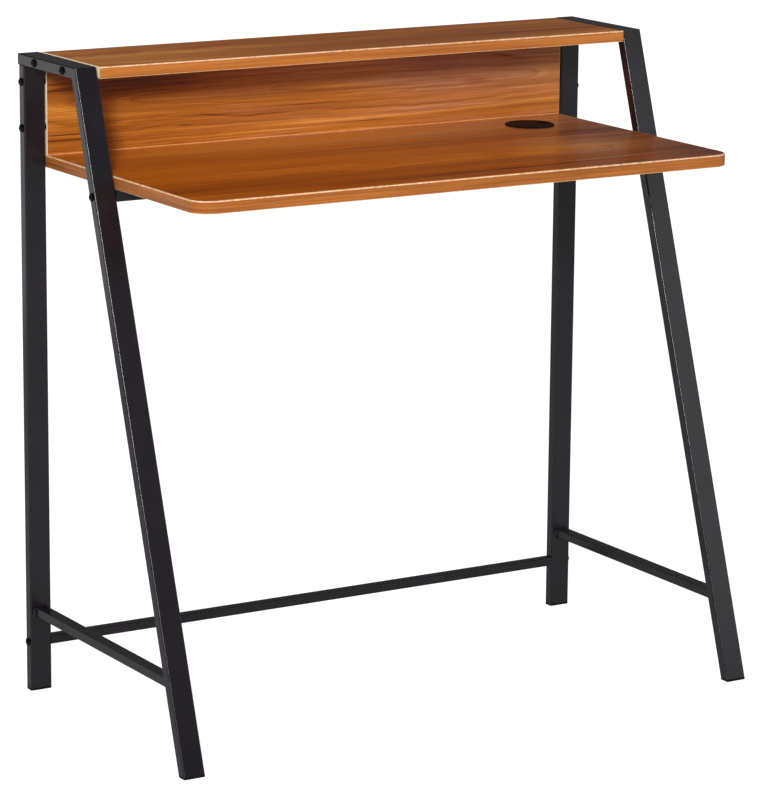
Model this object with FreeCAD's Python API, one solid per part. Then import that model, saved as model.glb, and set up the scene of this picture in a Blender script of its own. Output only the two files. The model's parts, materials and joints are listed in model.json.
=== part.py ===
import FreeCAD, Part
import math
import os

# Computer desk: two welded steel A-frames, a tabletop with a cable grommet, a back panel and a top shelf.
# Millimetres. +X runs to the user's right, +Y to the back, +Z up.
# The origin is on the floor, at the centre of the desk's width and depth.

# Overall sizes
frame_width = 860.0            # over the outer faces of the two end frames
desk_depth = 445.0             # from the front toes to the end plugs of the top tubes
tabletop_height = 717.0        # floor to the tabletop's upper face
back_panel_height = 118.0      # between the tabletop and the shelf

# Frame tube, 30 x 15 mm with rounded corners; the wide side faces the front
tube_width = 30.0
tube_depth = 15.0
tube_wall = 1.2
tube_corner_radius = 2.0

# Side rail of each frame, between its two legs
side_rail_width = 18.0
side_rail_height = 12.0
side_rail_underside = 102.5    # height above the floor
light_tube_wall = 1.0
light_tube_corner_radius = 1.5

# Rear stretcher between the two rear legs
stretcher_width = 15.0
stretcher_height = 12.0
stretcher_centre_height = 66.5

# Front rail between the two front legs, under the tabletop
front_rail_width = 15.0
front_rail_height = 15.0

# Weld fillets
weld_leg = 2.4

# Plastic end plugs
foot_flange = 3.0
end_plug_flange = 2.0
plug_insert_length = 14.0
plug_wall = 1.6
plug_clearance = 0.1

# Boards
board_end_gap = 2.0            # between a board's end and the frame beside it
tabletop_thickness = 16.0
tabletop_front_offset = 19.0   # tabletop's front edge behind the front toes
tabletop_corner_radius = 28.0
board_thickness = 15.0         # shelf and back panel
shelf_depth = 167.0
shelf_front_overhang = 6.0     # shelf's front edge ahead of the front legs' upper ends
edge_band_thickness = 2.0

# Machine bolts through the frames, with threaded inserts or nut blocks behind them
bolt_radius = 3.0
bolt_hole_clearance = 0.3
bolt_head_radius = 5.4
bolt_head_height = 2.9
bolt_crown_height = 0.9
bolt_socket_across_flats = 4.0
bolt_socket_depth = 1.8
thread_clearance = 0.05
insert_radius = 4.6
insert_length = 13.0
insert_flange_radius = 6.0
insert_flange_thickness = 0.8
insert_pocket_extra = 3.0
nut_block_length = 18.0
nut_block_clearance = 0.1
shelf_bolt_rear_offset = 45.0  # first shelf bolt, from the frame's rear face
shelf_bolt_spacing = 80.0
panel_bolt_drop = 21.0         # upper panel bolt, below the shelf's underside
panel_bolt_spacing = 60.0

# Wood screws up through the front rail into the tabletop
wood_screw_radius = 2.0
wood_screw_bite = 12.0
wood_screw_hole_clearance = 0.3
wood_screw_head_radius = 4.0
wood_screw_head_height = 2.4
wood_screw_tip_length = 3.0
wood_screw_count = 3
wood_screw_span_share = 0.8

# Connector screws up through the tabletop into the back panel
connector_radius = 3.5
connector_thread_radius = 2.5
connector_head_radius = 5.0
connector_head_height = 3.0
connector_bite = 34.0
connector_count = 4
connector_span_share = 0.86

# Dowels between the back panel and the shelf
dowel_radius = 4.0
dowel_length = 30.0
dowel_shelf_bite = 9.0
dowel_hole_extra = 1.0
dowel_count = 3
dowel_span_share = 0.7

# Cable grommet in the tabletop: a flanged liner and a round cap with a cable notch
grommet_hole_radius = 30.0
grommet_from_right_end = 97.0   # hole centre from the tabletop's right end
grommet_from_panel = 72.0       # hole centre in front of the back panel
liner_flange_radius = 34.0
liner_flange_thickness = 2.0
liner_sleeve_clearance = 0.25
liner_sleeve_wall = 1.5
liner_sleeve_below = 3.0        # sleeve standing out under the tabletop
liner_ledge_width = 2.4
liner_ledge_thickness = 1.6
cap_thickness = 2.0
cap_recess = 0.5                # cap's top under the liner's rim
cap_gap = 0.35
cap_skirt_wall = 1.4
cap_skirt_depth = 7.0
cap_notch_width = 18.0
cap_notch_reach = 13.0          # from the cap's rim towards its centre

# How far cutting tools run past what they cut
overrun = 5.0


# Places worked out from the sizes above
frame_outer_x = frame_width / 2
frame_inner_x = frame_outer_x - tube_width
frame_centre_x = frame_outer_x - tube_width / 2
toe_y = -desk_depth / 2
frame_rear_y = desk_depth / 2 - end_plug_flange
rear_leg_front_y = frame_rear_y - tube_depth
rear_leg_centre_y = frame_rear_y - tube_depth / 2
shelf_underside_z = tabletop_height + back_panel_height
desk_height = shelf_underside_z + board_thickness
tube_underside_z = desk_height - tube_depth
shelf_front_y = frame_rear_y - shelf_depth
lean = math.atan2(shelf_front_y + shelf_front_overhang - toe_y, desk_height)
leg_down = FreeCAD.Vector(0, -math.sin(lean), -math.cos(lean))
leg_back = FreeCAD.Vector(0, math.cos(lean), -math.sin(lean))
leg_toe = FreeCAD.Vector(0, toe_y, 0)
board_half_length = frame_inner_x - board_end_gap
tabletop_underside_z = tabletop_height - tabletop_thickness
tabletop_front_y = toe_y + tabletop_front_offset
front_rail_z = tabletop_underside_z - front_rail_height / 2
bolt_reach = board_end_gap + insert_length
big = 2 * (frame_width + desk_depth + desk_height)

X = FreeCAD.Vector(1, 0, 0)
Y = FreeCAD.Vector(0, 1, 0)
Z = FreeCAD.Vector(0, 0, 1)


def leg_face_y(z, behind):
    """Y of the front leg's front face at height z, or of a plane parallel to it and behind it."""
    return toe_y + math.tan(lean) * z + behind / math.cos(lean)


def profile(centre, u, v, width, height, radius):
    """Face of a rounded rectangle, width along u and height along v, about centre."""
    a = width / 2
    b = height / 2
    points = []
    for su, sv, first in ((1, -1, "v"), (1, 1, "u"), (-1, 1, "v"), (-1, -1, "u")):
        corner = centre + u * (su * a) + v * (sv * b)
        along_v = corner - v * (sv * radius)
        along_u = corner - u * (su * radius)
        middle = corner - (u * su + v * sv) * (radius * (1 - math.cos(math.pi / 4)))
        if first == "v":
            points.append((along_u, middle, along_v))
        else:
            points.append((along_v, middle, along_u))
    edges = []
    for i, (start, middle, end) in enumerate(points):
        edges.append(Part.Arc(start, middle, end).toShape())
        following = points[(i + 1) % len(points)][0]
        edges.append(Part.LineSegment(end, following).toShape())
    return Part.Face(Part.Wire(edges))


def bar(start, direction, length, u, v, width, height, radius):
    """Solid bar of rounded rectangular section."""
    return profile(start, u, v, width, height, radius).extrude(direction * length)


def tube(start, direction, length, u, v, width, height, radius, wall):
    """Hollow tube of rounded rectangular section, open at both ends."""
    outside = bar(start, direction, length, u, v, width, height, radius)
    inside = bar(
        start - direction * overrun, direction, length + 2 * overrun,
        u, v, width - 2 * wall, height - 2 * wall, radius - wall,
    )
    return outside.cut(inside)


def side_of(point, normal):
    """Block that fills the side of a plane that normal points to."""
    block = Part.makeBox(big, big, big, FreeCAD.Vector(-big / 2, -big / 2, 0))
    block.Placement = FreeCAD.Placement(point, FreeCAD.Rotation(Z, normal))
    return block


def slab(low, high):
    """Horizontal slab between two heights, larger than the desk."""
    return Part.makeBox(big, big, high - low, FreeCAD.Vector(-big / 2, -big / 2, low))


def rod(start, direction, length, radius):
    """Round rod."""
    return Part.makeCylinder(radius, length, start, direction)


def mirrored(shape):
    """The same shape on the other side of the desk's middle."""
    return shape.mirror(FreeCAD.Vector(0, 0, 0), X)


def spread(count, span):
    """Places of count pieces, evenly over a span about the middle."""
    return [span * i / (count - 1) - span / 2 for i in range(count)]


def export(name, shapes):
    """Writes one node: a single solid, or a group of separate solids."""
    solids = []
    for shape in shapes:
        solids.extend(shape.Solids)
    result = solids[0] if len(solids) == 1 else Part.makeCompound(solids)
    result.exportStep("parts/" + name + ".step")
    print(name, len(solids), "solids, volume", round(sum(s.Volume for s in solids), 1))


def front_leg_bar(width, depth, radius, inset):
    """Leaning bar on the left front leg's line, longer than the leg at both ends."""
    length = desk_height / math.cos(lean)
    middle = leg_toe + leg_back * (tube_depth / 2) - X * frame_centre_x
    start = middle - leg_down * (length + tube_width)
    return bar(
        start, leg_down, length + 2 * tube_width, X, leg_back,
        width - 2 * inset, depth - 2 * inset, radius,
    )


def bolt_lines():
    """Axes of the bolts on the left frame: node name and the point where each meets the outer face."""
    outer = -frame_outer_x
    lines = []
    tube_centre_z = desk_height - tube_depth / 2
    for i in range(2):
        y = frame_rear_y - shelf_bolt_rear_offset - i * shelf_bolt_spacing
        lines.append(("shelf", FreeCAD.Vector(outer, y, tube_centre_z)))
    for i in range(2):
        z = shelf_underside_z - panel_bolt_drop - i * panel_bolt_spacing
        lines.append(("panel", FreeCAD.Vector(outer, rear_leg_centre_y, z)))
    lines.append(("stretcher", FreeCAD.Vector(outer, rear_leg_centre_y, stretcher_centre_height)))
    rail_y = leg_face_y(front_rail_z, tube_depth / 2)
    lines.append(("front_rail", FreeCAD.Vector(outer, rail_y, front_rail_z)))
    return lines


def bolt_hole(point):
    """Cutter for the clearance hole of a bolt through the 30 mm width of a tube."""
    start = point - X * overrun
    return rod(start, X, tube_width + 2 * overrun, bolt_radius + bolt_hole_clearance)


def left_rear_leg():
    """Vertical rear leg, from its foot plug to the underside of the top tube."""
    start = FreeCAD.Vector(-frame_centre_x, rear_leg_centre_y, foot_flange)
    length = tube_underside_z - foot_flange
    leg = tube(start, Z, length, X, Y, tube_width, tube_depth, tube_corner_radius, tube_wall)
    for kind, point in bolt_lines():
        if kind in ("panel", "stretcher"):
            leg = leg.cut(bolt_hole(point))
    return leg


def mitre():
    """A point on the mitre plane of the top corner and the plane's normal, towards the top tube."""
    outer = FreeCAD.Vector(0, leg_face_y(desk_height, 0), desk_height)
    inner = FreeCAD.Vector(0, leg_face_y(tube_underside_z, tube_depth), tube_underside_z)
    along = inner - outer
    normal = FreeCAD.Vector(0, -along.z, along.y)
    normal.normalize()
    return outer, normal


def left_front_leg():
    """Leaning front leg, mitred to the top tube and cut level above its foot plug."""
    point, normal = mitre()
    outside = front_leg_bar(tube_width, tube_depth, tube_corner_radius, 0)
    inside = front_leg_bar(tube_width, tube_depth, tube_corner_radius - tube_wall, tube_wall)
    leg = outside.cut(inside)
    leg = leg.cut(side_of(point, normal))
    leg = leg.common(slab(foot_flange, desk_height))
    for kind, place in bolt_lines():
        if kind == "front_rail":
            leg = leg.cut(bolt_hole(place))
    return leg


def left_top_tube():
    """Short level tube over the two legs, mitred at the front and open at the rear."""
    point, normal = mitre()
    start = FreeCAD.Vector(-frame_centre_x, shelf_front_y - tube_width, desk_height - tube_depth / 2)
    length = frame_rear_y - start.y
    top = tube(start, Y, length, X, Z, tube_width, tube_depth, tube_corner_radius, tube_wall)
    top = top.cut(side_of(point, normal * -1))
    for kind, place in bolt_lines():
        if kind == "shelf":
            top = top.cut(bolt_hole(place))
    return top


def left_side_rail():
    """Lower rail between the two legs of the frame, its front end cut to the lean of the front leg."""
    z = side_rail_underside + side_rail_height / 2
    front = leg_face_y(side_rail_underside, 0)
    start = FreeCAD.Vector(-frame_centre_x, front, z)
    rail = tube(
        start, Y, rear_leg_front_y - front, X, Z,
        side_rail_width, side_rail_height, light_tube_corner_radius, light_tube_wall,
    )
    behind_leg = FreeCAD.Vector(0, leg_face_y(0, tube_depth), 0)
    return rail.cut(side_of(behind_leg, leg_back * -1))


def weld(start, run, leg_a, leg_b):
    """Triangular weld fillet in the corner at start, drawn along run."""
    a = start + leg_a * weld_leg
    b = start + leg_b * weld_leg
    return Part.Face(Part.makePolygon([start, a, b, start])).extrude(run)


def left_frame_welds():
    """Fillets at both ends of the side rail, under the top tube behind the rear leg and in the mitre."""
    beads = []
    top = side_rail_underside + side_rail_height
    half = side_rail_width / 2
    flat = half - light_tube_corner_radius
    rise = side_rail_height - 2 * light_tube_corner_radius
    leg_run = rise / math.cos(lean)
    for z, up in ((top, 1), (side_rail_underside, -1)):
        rear = FreeCAD.Vector(-frame_centre_x - flat, rear_leg_front_y, z)
        beads.append(weld(rear, X * (2 * flat), Y * -1, Z * up))
        front = FreeCAD.Vector(-frame_centre_x - flat, leg_face_y(z, tube_depth), z)
        beads.append(weld(front, X * (2 * flat), Y, leg_down * -up))
    for side in (-1, 1):
        low = side_rail_underside + light_tube_corner_radius
        rear = FreeCAD.Vector(-frame_centre_x + side * half, rear_leg_front_y, low)
        beads.append(weld(rear, Z * rise, Y * -1, X * side))
        front = FreeCAD.Vector(-frame_centre_x + side * half, leg_face_y(low, tube_depth), low)
        beads.append(weld(front, leg_down * -leg_run, Y, X * side))
    tube_flat = tube_width / 2 - tube_corner_radius
    under = FreeCAD.Vector(-frame_centre_x - tube_flat, rear_leg_front_y, tube_underside_z)
    beads.append(weld(under, X * (2 * tube_flat), Y * -1, Z * -1))
    corner_y = leg_face_y(tube_underside_z, tube_depth)
    corner = FreeCAD.Vector(-frame_centre_x - tube_flat, corner_y, tube_underside_z)
    beads.append(weld(corner, X * (2 * tube_flat), Y, leg_down))
    return beads


def left_rear_foot_plug():
    """Plastic plug in the rear leg's lower end, with the flange that stands on the floor."""
    centre = FreeCAD.Vector(-frame_centre_x, rear_leg_centre_y, 0)
    flange = bar(centre, Z, foot_flange, X, Y, tube_width, tube_depth, tube_corner_radius)
    inset = tube_wall + plug_clearance
    core_inset = inset + plug_wall
    radius = tube_corner_radius - tube_wall
    seat = centre + Z * foot_flange
    cup = bar(
        seat, Z, plug_insert_length, X, Y,
        tube_width - 2 * inset, tube_depth - 2 * inset, radius,
    )
    hollow = bar(
        seat, Z, plug_insert_length, X, Y,
        tube_width - 2 * core_inset, tube_depth - 2 * core_inset, radius,
    )
    return flange.fuse(cup.cut(hollow)).removeSplitter()


def left_front_foot_plug():
    """Plastic plug in the front leg's lower end: a leaning insert over a flange cut level for the floor."""
    inset = tube_wall + plug_clearance
    radius = tube_corner_radius - tube_wall
    flange = front_leg_bar(tube_width, tube_depth, tube_corner_radius, 0).common(slab(0, foot_flange))
    cup = front_leg_bar(tube_width, tube_depth, radius, inset)
    hollow = front_leg_bar(tube_width, tube_depth, radius, inset + plug_wall)
    insert = cup.cut(hollow).common(slab(foot_flange, foot_flange + plug_insert_length))
    return flange.fuse(insert).removeSplitter()


def left_top_tube_plug():
    """Plastic plug in the rear end of the top tube."""
    centre = FreeCAD.Vector(-frame_centre_x, frame_rear_y, desk_height - tube_depth / 2)
    flange = bar(centre, Y, end_plug_flange, X, Z, tube_width, tube_depth, tube_corner_radius)
    inset = tube_wall + plug_clearance
    core_inset = inset + plug_wall
    radius = tube_corner_radius - tube_wall
    cup = bar(
        centre, Y * -1, plug_insert_length, X, Z,
        tube_width - 2 * inset, tube_depth - 2 * inset, radius,
    )
    hollow = bar(
        centre, Y * -1, plug_insert_length, X, Z,
        tube_width - 2 * core_inset, tube_depth - 2 * core_inset, radius,
    )
    return flange.fuse(cup.cut(hollow)).removeSplitter()


def cross_tube(y, z, width, height):
    """Tube along X between the inner faces of the two frames."""
    start = FreeCAD.Vector(-frame_inner_x, y, z)
    return tube(
        start, X, 2 * frame_inner_x, Y, Z, width, height, light_tube_corner_radius, light_tube_wall,
    )


def rear_stretcher():
    """Low stretcher between the rear legs."""
    return cross_tube(rear_leg_centre_y, stretcher_centre_height, stretcher_width, stretcher_height)


def front_rail_screw_places():
    """Points on the front rail's underside where the wood screws enter."""
    y = leg_face_y(front_rail_z, tube_depth / 2)
    span = 2 * board_half_length * wood_screw_span_share
    z = tabletop_underside_z - front_rail_height
    return [FreeCAD.Vector(x, y, z) for x in spread(wood_screw_count, span)]


def front_rail():
    """Rail between the front legs that carries the tabletop's front half."""
    y = leg_face_y(front_rail_z, tube_depth / 2)
    rail = cross_tube(y, front_rail_z, front_rail_width, front_rail_height)
    for place in front_rail_screw_places():
        start = place - Z * overrun
        hole = rod(start, Z, front_rail_height + 2 * overrun, wood_screw_radius + wood_screw_hole_clearance)
        rail = rail.cut(hole)
    return rail


def nut_block(y, z, width, height):
    """Threaded block held in the left end of a cross tube."""
    inset = light_tube_wall + nut_block_clearance
    start = FreeCAD.Vector(-frame_inner_x, y, z)
    radius = light_tube_corner_radius - inset
    block = bar(start, X, nut_block_length, Y, Z, width - 2 * inset, height - 2 * inset, radius)
    hole = rod(start - X * overrun, X, nut_block_length + 2 * overrun, bolt_radius + thread_clearance)
    return block.cut(hole)


def bolt(point):
    """Button-head socket bolt on the left frame, its head on the tube's outer face."""
    length = tube_width + bolt_reach
    shank = rod(point, X, length, bolt_radius)
    rim = bolt_head_height - bolt_crown_height
    head = rod(point - X * rim, X, rim, bolt_head_radius)
    crown = Part.makeCone(
        bolt_head_radius, bolt_head_radius - bolt_crown_height, bolt_crown_height, point - X * rim, X * -1,
    )
    across_corners = bolt_socket_across_flats / math.cos(math.pi / 6)
    corners = []
    for i in range(7):
        angle = i * math.pi / 3
        offset = Y * math.cos(angle) + Z * math.sin(angle)
        corners.append(point - X * bolt_head_height + offset * (across_corners / 2))
    socket = Part.Face(Part.makePolygon(corners)).extrude(X * bolt_socket_depth)
    return shank.fuse([head, crown]).removeSplitter().cut(socket)


def threaded_insert(point):
    """Flanged threaded insert in a board's left end, on the axis of a bolt."""
    mouth = FreeCAD.Vector(-board_half_length, point.y, point.z)
    body = rod(mouth, X, insert_length, insert_radius)
    flange = rod(mouth, X, insert_flange_thickness, insert_flange_radius)
    hole = rod(mouth - X * overrun, X, insert_length + 2 * overrun, bolt_radius + thread_clearance)
    return body.fuse(flange).removeSplitter().cut(hole)


def insert_pocket(point):
    """Cutter for the pocket of a threaded insert in a board's left end."""
    mouth = FreeCAD.Vector(-board_half_length, point.y, point.z)
    deep = rod(mouth - X * overrun, X, overrun + insert_length + insert_pocket_extra,
               insert_radius + thread_clearance)
    recess = rod(mouth - X * overrun, X, overrun + insert_flange_thickness,
                 insert_flange_radius + thread_clearance)
    return deep.fuse(recess)


def bolts_of(kind):
    """The bolt lines of one kind on the left frame."""
    return [point for name, point in bolt_lines() if name == kind]


def both_sides(shapes):
    """The shapes of the left side and their mirror images."""
    return shapes + [mirrored(shape) for shape in shapes]


def board_outline(inset, corner_radius):
    """Face of the tabletop's outline on its underside, drawn in by inset, round at the front corners."""
    half = board_half_length - inset
    front = tabletop_front_y + inset
    rear = frame_rear_y - inset
    radius = corner_radius - inset
    z = tabletop_underside_z
    middle = radius * (1 - math.cos(math.pi / 4))

    def at(x, y):
        return FreeCAD.Vector(x, y, z)

    edges = [
        Part.LineSegment(at(-half, rear), at(-half, front + radius)).toShape(),
        Part.Arc(at(-half, front + radius), at(-half + middle, front + middle),
                 at(-half + radius, front)).toShape(),
        Part.LineSegment(at(-half + radius, front), at(half - radius, front)).toShape(),
        Part.Arc(at(half - radius, front), at(half - middle, front + middle),
                 at(half, front + radius)).toShape(),
        Part.LineSegment(at(half, front + radius), at(half, rear)).toShape(),
        Part.LineSegment(at(half, rear), at(-half, rear)).toShape(),
    ]
    return Part.Face(Part.Wire(edges))


def grommet_centre():
    """Centre of the cable hole on the tabletop's upper face."""
    x = board_half_length - grommet_from_right_end
    y = rear_leg_front_y - grommet_from_panel
    return FreeCAD.Vector(x, y, tabletop_height)


def connector_places():
    """Points on the tabletop's underside where the connector screws enter."""
    span = 2 * board_half_length * connector_span_share
    y = rear_leg_centre_y
    return [FreeCAD.Vector(x, y, tabletop_underside_z) for x in spread(connector_count, span)]


def connector_screw(place, grow):
    """Connector screw driven up from place, grown by a clearance where it is a cutter."""
    head = Part.makeCone(
        connector_head_radius + grow, connector_radius + grow, connector_head_height, place, Z,
    )
    shank = rod(place, Z, tabletop_thickness, connector_radius + grow)
    thread = rod(place, Z, tabletop_thickness + connector_bite, connector_thread_radius + grow)
    return thread.fuse([shank, head]).removeSplitter()


def wood_screw(place):
    """Pan-head wood screw driven up through the front rail into the tabletop."""
    head = rod(place - Z * wood_screw_head_height, Z, wood_screw_head_height, wood_screw_head_radius)
    straight = front_rail_height + wood_screw_bite - wood_screw_tip_length
    shank = rod(place, Z, straight, wood_screw_radius)
    tip = Part.makeCone(wood_screw_radius, 0, wood_screw_tip_length, place + Z * straight, Z)
    return head.fuse([shank, tip]).removeSplitter()


def tabletop():
    """Particle-board tabletop, less its edge band, with the cable hole and the screws' holes."""
    board = board_outline(edge_band_thickness, tabletop_corner_radius).extrude(Z * tabletop_thickness)
    hole_start = grommet_centre() - Z * (tabletop_thickness + overrun)
    board = board.cut(rod(hole_start, Z, tabletop_thickness + 2 * overrun, grommet_hole_radius))
    for place in connector_places():
        board = board.cut(connector_screw(place, thread_clearance))
    for place in front_rail_screw_places():
        start = place + Z * (front_rail_height - overrun)
        depth = overrun + wood_screw_bite + thread_clearance
        board = board.cut(rod(start, Z, depth, wood_screw_radius + thread_clearance))
    return board


def tabletop_edge_band():
    """Band round all four edges of the tabletop."""
    outside = board_outline(0, tabletop_corner_radius)
    inside = board_outline(edge_band_thickness, tabletop_corner_radius)
    return outside.cut(inside).extrude(Z * tabletop_thickness)


def dowel_places():
    """Points on the shelf's underside over the back panel's middle, where the dowels stand."""
    span = 2 * board_half_length * dowel_span_share
    return [FreeCAD.Vector(x, rear_leg_centre_y, shelf_underside_z) for x in spread(dowel_count, span)]


def dowel(place, grow):
    """Dowel across the joint of the back panel and the shelf, grown where it is a cutter."""
    ends = dowel_hole_extra if grow else 0
    start = place - Z * (dowel_length - dowel_shelf_bite + ends)
    return rod(start, Z, dowel_length + 2 * ends, dowel_radius + grow)


def end_bored(board, kind):
    """A board with the insert pockets of one kind of bolt in both its ends."""
    for point in bolts_of(kind):
        pocket = insert_pocket(point)
        board = board.cut(pocket)
        board = board.cut(mirrored(pocket))
    return board


def back_panel():
    """Upright board between the rear legs, from the tabletop to the shelf."""
    corner = FreeCAD.Vector(-board_half_length, frame_rear_y - board_thickness, tabletop_height)
    board = Part.makeBox(2 * board_half_length, board_thickness, back_panel_height, corner)
    board = end_bored(board, "panel")
    for place in connector_places():
        board = board.cut(connector_screw(place, thread_clearance))
    for place in dowel_places():
        board = board.cut(dowel(place, thread_clearance))
    return board


def top_shelf():
    """Shelf between the two top tubes, less the bands on its long edges."""
    corner = FreeCAD.Vector(-board_half_length, shelf_front_y + edge_band_thickness, shelf_underside_z)
    depth = shelf_depth - 2 * edge_band_thickness
    board = Part.makeBox(2 * board_half_length, depth, board_thickness, corner)
    board = end_bored(board, "shelf")
    for place in dowel_places():
        board = board.cut(dowel(place, thread_clearance))
    return board


def shelf_edge_band(y):
    """Band on a long edge of the shelf."""
    corner = FreeCAD.Vector(-board_half_length, y, shelf_underside_z)
    return Part.makeBox(2 * board_half_length, edge_band_thickness, board_thickness, corner)


def liner_inner_radius():
    """Radius inside the liner's sleeve."""
    return grommet_hole_radius - liner_sleeve_clearance - liner_sleeve_wall


def cap_underside_z():
    """Height of the liner's ledge, on which the cap lies."""
    return tabletop_height + liner_flange_thickness - cap_recess - cap_thickness


def grommet_liner():
    """Flanged liner of the cable hole, with the ledge that carries the cap."""
    centre = grommet_centre()
    sleeve_depth = tabletop_thickness + liner_sleeve_below
    low = centre - Z * sleeve_depth
    sleeve = rod(low, Z, sleeve_depth + liner_flange_thickness, grommet_hole_radius - liner_sleeve_clearance)
    flange = rod(centre, Z, liner_flange_thickness, liner_flange_radius)
    body = sleeve.fuse(flange).removeSplitter()
    rim = flange.Edges[0]
    for edge in body.Edges:
        on_top = abs(edge.BoundBox.ZMin - centre.z - liner_flange_thickness) < thread_clearance
        if on_top and edge.BoundBox.XLength > rim.BoundBox.XLength - thread_clearance:
            body = body.makeFillet(liner_flange_thickness / 2, [edge])
            break
    ledge_top = FreeCAD.Vector(centre.x, centre.y, cap_underside_z())
    ledge_low = ledge_top - Z * liner_ledge_thickness
    body = body.cut(rod(ledge_top, Z, cap_thickness + overrun, liner_inner_radius()))
    body = body.cut(rod(low - Z * overrun, Z, ledge_low.z - low.z + overrun, liner_inner_radius()))
    way = rod(low - Z * overrun, Z, sleeve_depth + 2 * overrun, liner_inner_radius() - liner_ledge_width)
    return body.cut(way)


def grommet_cap():
    """Round cap that lies on the liner's ledge and turns in it, with a notch for cables on its right."""
    centre = grommet_centre()
    low = FreeCAD.Vector(centre.x, centre.y, cap_underside_z())
    radius = liner_inner_radius() - cap_gap
    disc = rod(low, Z, cap_thickness, radius)
    skirt_radius = liner_inner_radius() - liner_ledge_width - cap_gap
    skirt_start = low - Z * cap_skirt_depth
    skirt = rod(skirt_start, Z, cap_skirt_depth, skirt_radius)
    skirt = skirt.cut(rod(skirt_start, Z, cap_skirt_depth, skirt_radius - cap_skirt_wall))
    cap = disc.fuse(skirt).removeSplitter()
    throat = radius - cap_notch_reach + cap_notch_width / 2
    round_end = FreeCAD.Vector(centre.x + throat, centre.y, skirt_start.z - overrun)
    height = cap_skirt_depth + cap_thickness + 2 * overrun
    notch = rod(round_end, Z, height, cap_notch_width / 2)
    mouth = Part.makeBox(
        radius + overrun - throat, cap_notch_width, height, round_end - Y * (cap_notch_width / 2),
    )
    return cap.cut(notch.fuse(mouth))


def main():
    os.makedirs("parts", exist_ok=True)
    frame_pieces = {
        "rear_leg": [left_rear_leg()],
        "front_leg": [left_front_leg()],
        "top_tube": [left_top_tube()],
        "side_rail": [left_side_rail()],
        "frame_welds": left_frame_welds(),
        "rear_foot_plug": [left_rear_foot_plug()],
        "front_foot_plug": [left_front_foot_plug()],
        "top_tube_plug": [left_top_tube_plug()],
    }
    for name, shapes in frame_pieces.items():
        export("left_" + name, shapes)
        export("right_" + name, [mirrored(shape) for shape in shapes])

    rail_y = leg_face_y(front_rail_z, tube_depth / 2)
    export("rear_stretcher", [rear_stretcher()])
    export("front_rail", [front_rail()])
    stretcher_nut = nut_block(
        rear_leg_centre_y, stretcher_centre_height, stretcher_width, stretcher_height,
    )
    rail_nut = nut_block(rail_y, front_rail_z, front_rail_width, front_rail_height)
    export("stretcher_nut_blocks", both_sides([stretcher_nut]))
    export("front_rail_nut_blocks", both_sides([rail_nut]))

    for kind in ("shelf", "panel", "stretcher", "front_rail"):
        export(kind + "_bolts", both_sides([bolt(point) for point in bolts_of(kind)]))
    for kind in ("shelf", "panel"):
        export(kind + "_inserts", both_sides([threaded_insert(point) for point in bolts_of(kind)]))

    export("tabletop", [tabletop()])
    export("tabletop_edge_band", [tabletop_edge_band()])
    export("back_panel", [back_panel()])
    export("top_shelf", [top_shelf()])
    export("shelf_front_band", [shelf_edge_band(shelf_front_y)])
    export("shelf_rear_band", [shelf_edge_band(frame_rear_y - edge_band_thickness)])
    export("tabletop_screws", [wood_screw(place) for place in front_rail_screw_places()])
    export("panel_connector_screws", [connector_screw(place, 0) for place in connector_places()])
    export("shelf_dowels", [dowel(place, 0) for place in dowel_places()])
    export("grommet_liner", [grommet_liner()])
    export("grommet_cap", [grommet_cap()])


main()
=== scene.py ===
"""Looks of a computer desk: steel end frames, a walnut-print tabletop, a back panel and a raised shelf.

Everything is in metres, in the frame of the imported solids: +X runs to the user's right along the
tabletop, +Y to the back and +Z up. Fields whose names end in _mm are in millimetres.
"""

import json
import logging
import math
from dataclasses import dataclass
from enum import Enum, IntEnum
from typing import Any, Optional, Sequence, Union

import bmesh
import bpy
from mathutils import Matrix, Vector

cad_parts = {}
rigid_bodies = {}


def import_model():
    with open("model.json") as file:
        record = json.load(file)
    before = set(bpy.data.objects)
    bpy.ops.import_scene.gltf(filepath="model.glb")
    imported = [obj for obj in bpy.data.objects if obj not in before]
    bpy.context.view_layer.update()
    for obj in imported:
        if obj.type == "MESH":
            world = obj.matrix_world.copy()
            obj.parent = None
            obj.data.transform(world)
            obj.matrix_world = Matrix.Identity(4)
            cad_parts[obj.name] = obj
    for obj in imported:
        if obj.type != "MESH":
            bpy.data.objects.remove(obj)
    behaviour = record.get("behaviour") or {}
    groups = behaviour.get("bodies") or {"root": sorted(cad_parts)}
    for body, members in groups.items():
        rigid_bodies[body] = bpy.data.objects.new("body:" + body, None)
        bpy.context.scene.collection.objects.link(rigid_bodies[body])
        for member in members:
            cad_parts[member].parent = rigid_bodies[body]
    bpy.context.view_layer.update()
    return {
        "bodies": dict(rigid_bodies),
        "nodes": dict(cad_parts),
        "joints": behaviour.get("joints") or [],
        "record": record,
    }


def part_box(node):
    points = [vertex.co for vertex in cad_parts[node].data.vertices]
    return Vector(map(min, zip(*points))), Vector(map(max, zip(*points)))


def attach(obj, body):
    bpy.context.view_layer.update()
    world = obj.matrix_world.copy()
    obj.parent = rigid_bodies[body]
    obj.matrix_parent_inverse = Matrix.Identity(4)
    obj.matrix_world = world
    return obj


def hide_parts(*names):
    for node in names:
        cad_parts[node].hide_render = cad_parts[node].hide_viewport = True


LOG = logging.getLogger("desk")
MM = 0.001
EASED_OVER_DEGREES = 40  # CAD edges that turn by more than this are eased
SAME_POINT = 0.001 * MM  # vertices closer than this are one
WHITE = (1.0, 1.0, 1.0, 1.0)
Tree = bpy.types.NodeTree
Node = bpy.types.Node
Material = bpy.types.Material
Mesh = bmesh.types.BMesh
Frame = dict[str, Any]
Point = tuple[float, float]
Spot = tuple[float, float, float]
Colour = tuple[float, float, float, float]
Stops = tuple[tuple[float, str], ...]
Sources = dict[str, Any]
Section = list[tuple[float, float, int]]


class Axis(Enum):
    """An axis of the desk's frame, by its place in a vector."""

    X = 0
    Y = 1
    Z = 2


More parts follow.
